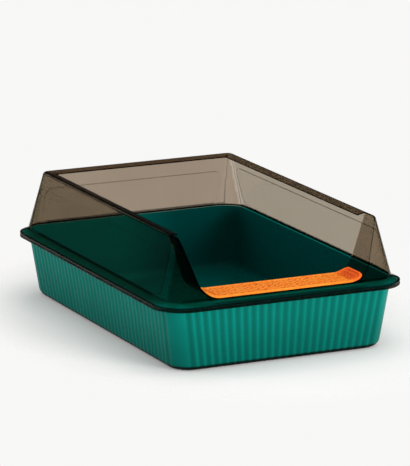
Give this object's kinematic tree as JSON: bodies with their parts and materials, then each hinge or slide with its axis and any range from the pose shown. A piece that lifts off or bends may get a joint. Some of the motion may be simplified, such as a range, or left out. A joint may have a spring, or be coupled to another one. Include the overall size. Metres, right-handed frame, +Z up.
{
  "type": "cat litter box",
  "caption": "Rectangular cat litter box: a fluted open pan, a clear smoky splash guard that lifts off its rim, and a tread in the guard's U-shaped front entry.",
  "frame": {"origin": "centre of the footprint, on the surface that the pan stands on", "axes": "+X to the right seen from the front, -Y towards the front with the entry, +Z up"},
  "size_m": [0.4, 0.576, 0.1965],
  "materials": {
    "pan_plastic": "smooth satin-gloss moulded plastic, deep teal green",
    "guard_plastic": "clear smoky brown-grey plastic, polished",
    "tread_plastic": "satin orange plastic with a fine relief"
  },
  "bodies": {
    "pan": {"litter_pan": "pan_plastic"},
    "guard": {"splash_guard": "guard_plastic"},
    "tread": {"entry_tread": "tread_plastic"}
  },
  "joints": [
    {"name": "guard_lift", "type": "slide", "parent": "pan", "child": "guard", "axis": [0, 0, 1], "range_m": [0, 0.12]},
    {"name": "tread_lift", "type": "slide", "parent": "guard", "child": "tread", "axis": [0, 0, 1], "range_m": [0, 0.1]}
  ]
}
